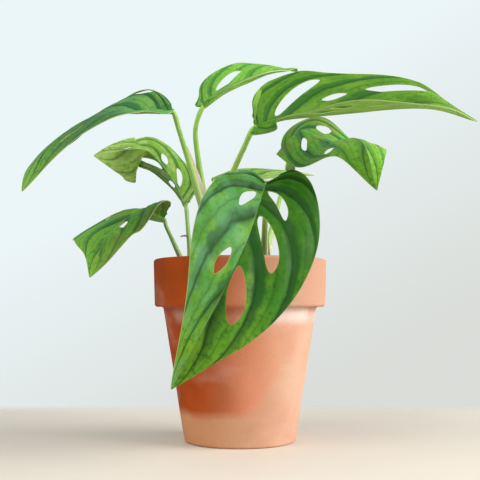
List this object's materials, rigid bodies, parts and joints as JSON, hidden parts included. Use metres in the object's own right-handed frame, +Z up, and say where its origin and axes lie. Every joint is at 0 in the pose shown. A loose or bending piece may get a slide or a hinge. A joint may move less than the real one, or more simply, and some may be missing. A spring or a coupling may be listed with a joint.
{
  "type": "potted swiss cheese vine",
  "caption": "House plant with heart-shaped perforated leaves on slender stalks, standing in a filled terracotta pot with a thick rim.",
  "frame": {"origin": "centre of the footprint at the level of the pot's base, on the pot's own axis", "axes": "+Z up along the pot's axis, -Y towards the viewer of the picture, +X to the viewer's right"},
  "size_m": [0.2406, 0.2302, 0.2318],
  "materials": {
    "terracotta": "fired clay, matt",
    "soil": "crumbly potting mix",
    "stalk": "smooth living stem, satin",
    "leaf_deep": "waxy leaf, satin",
    "leaf_fresh": "waxy leaf, satin",
    "leaf_young": "young waxy leaf, satin"
  },
  "bodies": {
    "root": {"pot": "terracotta", "soil": "soil", "vine_left": "stalk", "vine_middle": "stalk", "vine_right": "stalk", "leaf_front": "leaf_deep", "leaf_right_high": "leaf_fresh", "leaf_left_high": "leaf_deep", "leaf_top": "leaf_fresh", "leaf_left_middle": "leaf_young", "leaf_left_low": "leaf_deep", "leaf_right_middle": "leaf_fresh", "leaf_back": "leaf_young"}
  },
  "joints": []
}
